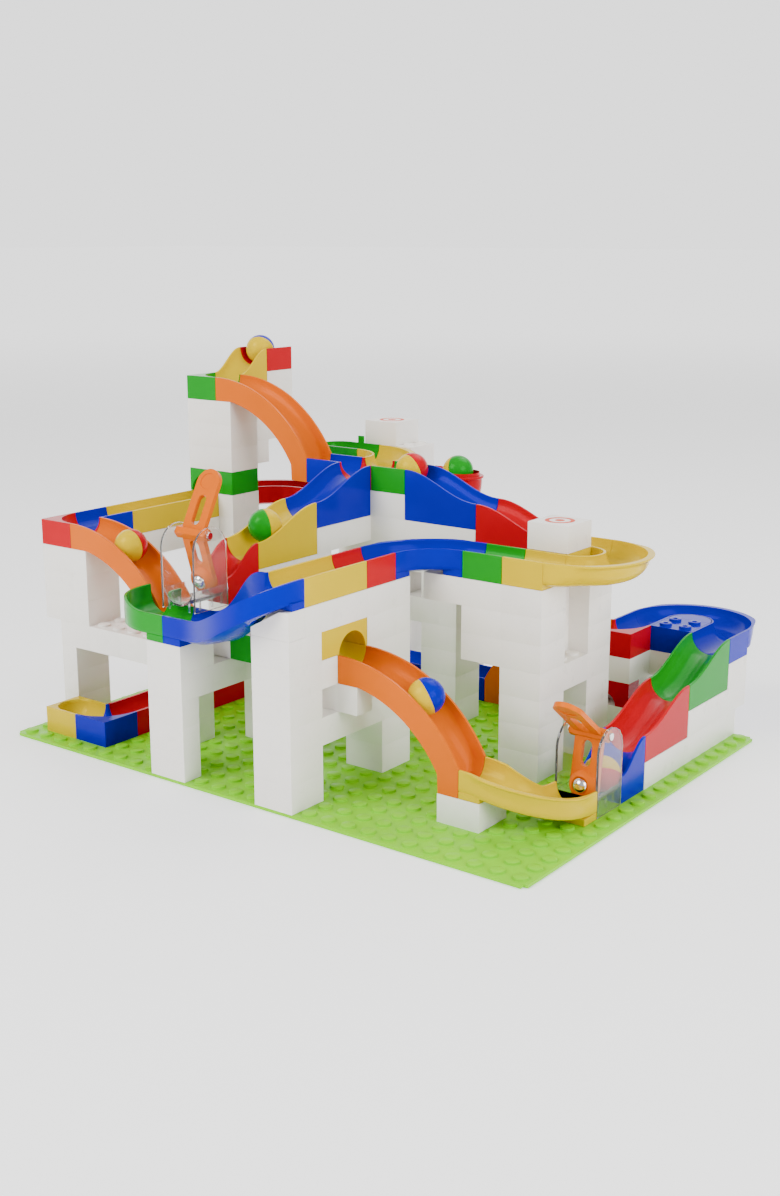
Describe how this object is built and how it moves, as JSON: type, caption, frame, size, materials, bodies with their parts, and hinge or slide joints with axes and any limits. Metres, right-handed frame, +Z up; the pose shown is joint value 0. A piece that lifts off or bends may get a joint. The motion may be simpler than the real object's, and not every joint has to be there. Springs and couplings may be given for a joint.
{
  "type": "marble run",
  "caption": "Studded-plate marble run: brick towers, half-pipe ramps, curved chutes, bends, two finger levers and loose balls.",
  "frame": {"origin": "centre of the base plate's underside, on the table", "axes": "+X along the plate's long side, +Y along its short side towards the high starting tower, +Z up"},
  "size_m": [0.4638, 0.4028, 0.2813],
  "materials": {
    "blue": "glossy moulded plastic",
    "blue_ball": "glossy moulded two-colour ball",
    "clear": "clear glossy moulded plastic",
    "green": "glossy moulded plastic",
    "green_ball": "glossy moulded two-colour ball",
    "lime": "glossy moulded plastic",
    "orange": "glossy moulded plastic",
    "red": "glossy moulded plastic",
    "red_ball": "glossy moulded two-colour ball",
    "white": "glossy moulded plastic",
    "yellow": "glossy moulded plastic",
    "yellow_ball": "glossy moulded two-colour ball"
  },
  "bodies": {
    "track_and_bricks": {"base_plate": "lime", "bend_blue_high": "blue", "bend_green_low": "green", "bend_yellow_upper": "yellow", "catch_bend_yellow": "yellow", "catch_block": "white", "centre_wall": "white", "corner_red_right": "red", "crossing_red": "red", "drop_bend_blue": "blue", "end_track_green": "green", "end_tray_yellow": "yellow", "front_wall": "white", "ground_corner_blue": "blue", "ground_track_blue": "blue", "ground_track_red": "red", "housing_left": "clear", "housing_right": "clear", "left_tower": "white", "rail_blue": "blue", "rail_corner_red": "red", "rail_yellow": "yellow", "ramp_centre_blue": "blue", "ramp_centre_red": "red", "ramp_left_blue": "blue", "ramp_left_red": "red", "ramp_left_yellow": "yellow", "ramp_right_blue": "blue", "ramp_right_green": "green", "ramp_right_red": "red", "return_track_red": "red", "right_wall": "white", "slide_back_orange": "orange", "slide_front_orange": "orange", "slide_left_orange": "orange", "slide_upper_orange": "orange", "start_corner_green": "green", "start_ramp_yellow": "yellow", "start_tower_top": "white", "start_track_red": "red", "top_cap": "white", "track_blue_upper": "blue", "track_green_high": "green", "track_green_upper": "green", "track_link": "green", "track_red_high": "red", "track_yellow_high": "yellow", "tunnel_green": "green", "tunnel_yellow": "yellow", "turn_blue": "blue", "turn_yellow": "yellow"},
    "lever_left": {"lever_left": "orange"},
    "lever_right": {"lever_right": "orange"},
    "ball_blue_yellow_slide": {"ball_blue_yellow_slide": "blue_ball"},
    "ball_green_yellow_cup": {"ball_green_yellow_cup": "green_ball"},
    "ball_green_yellow_ramp": {"ball_green_yellow_ramp": "green_ball"},
    "ball_red_yellow_lever": {"ball_red_yellow_lever": "red_ball"},
    "ball_yellow_blue_start": {"ball_yellow_blue_start": "yellow_ball"},
    "ball_yellow_red_slide": {"ball_yellow_red_slide": "yellow_ball"},
    "ball_yellow_red_upper": {"ball_yellow_red_upper": "yellow_ball"}
  },
  "joints": [
    {"name": "lever_left_swing", "type": "hinge", "parent": "track_and_bricks", "child": "lever_left", "pos_m": [-0.064, -0.128, 0.16855], "axis": [1, 0, 0], "range_deg": [-25, 40]},
    {"name": "lever_right_swing", "type": "hinge", "parent": "track_and_bricks", "child": "lever_right", "pos_m": [0.192, -0.032, 0.05335], "axis": [1, 0, 0], "range_deg": [-30, 10]},
    {"name": "ball_blue_yellow_slide_lift", "type": "slide", "parent": "track_and_bricks", "child": "ball_blue_yellow_slide", "axis": [0, 0, 1], "range_m": [0, 0.06]},
    {"name": "ball_green_yellow_cup_lift", "type": "slide", "parent": "track_and_bricks", "child": "ball_green_yellow_cup", "axis": [0, 0, 1], "range_m": [0, 0.06]},
    {"name": "ball_green_yellow_ramp_lift", "type": "slide", "parent": "track_and_bricks", "child": "ball_green_yellow_ramp", "axis": [0, 0, 1], "range_m": [0, 0.06]},
    {"name": "ball_red_yellow_lever_lift", "type": "slide", "parent": "track_and_bricks", "child": "ball_red_yellow_lever", "axis": [0, 0, 1], "range_m": [0, 0.06]},
    {"name": "ball_yellow_blue_start_lift", "type": "slide", "parent": "track_and_bricks", "child": "ball_yellow_blue_start", "axis": [0, 0, 1], "range_m": [0, 0.06]},
    {"name": "ball_yellow_red_slide_lift", "type": "slide", "parent": "track_and_bricks", "child": "ball_yellow_red_slide", "axis": [0, 0, 1], "range_m": [0, 0.06]},
    {"name": "ball_yellow_red_upper_lift", "type": "slide", "parent": "track_and_bricks", "child": "ball_yellow_red_upper", "axis": [0, 0, 1], "range_m": [0, 0.06]}
  ]
}
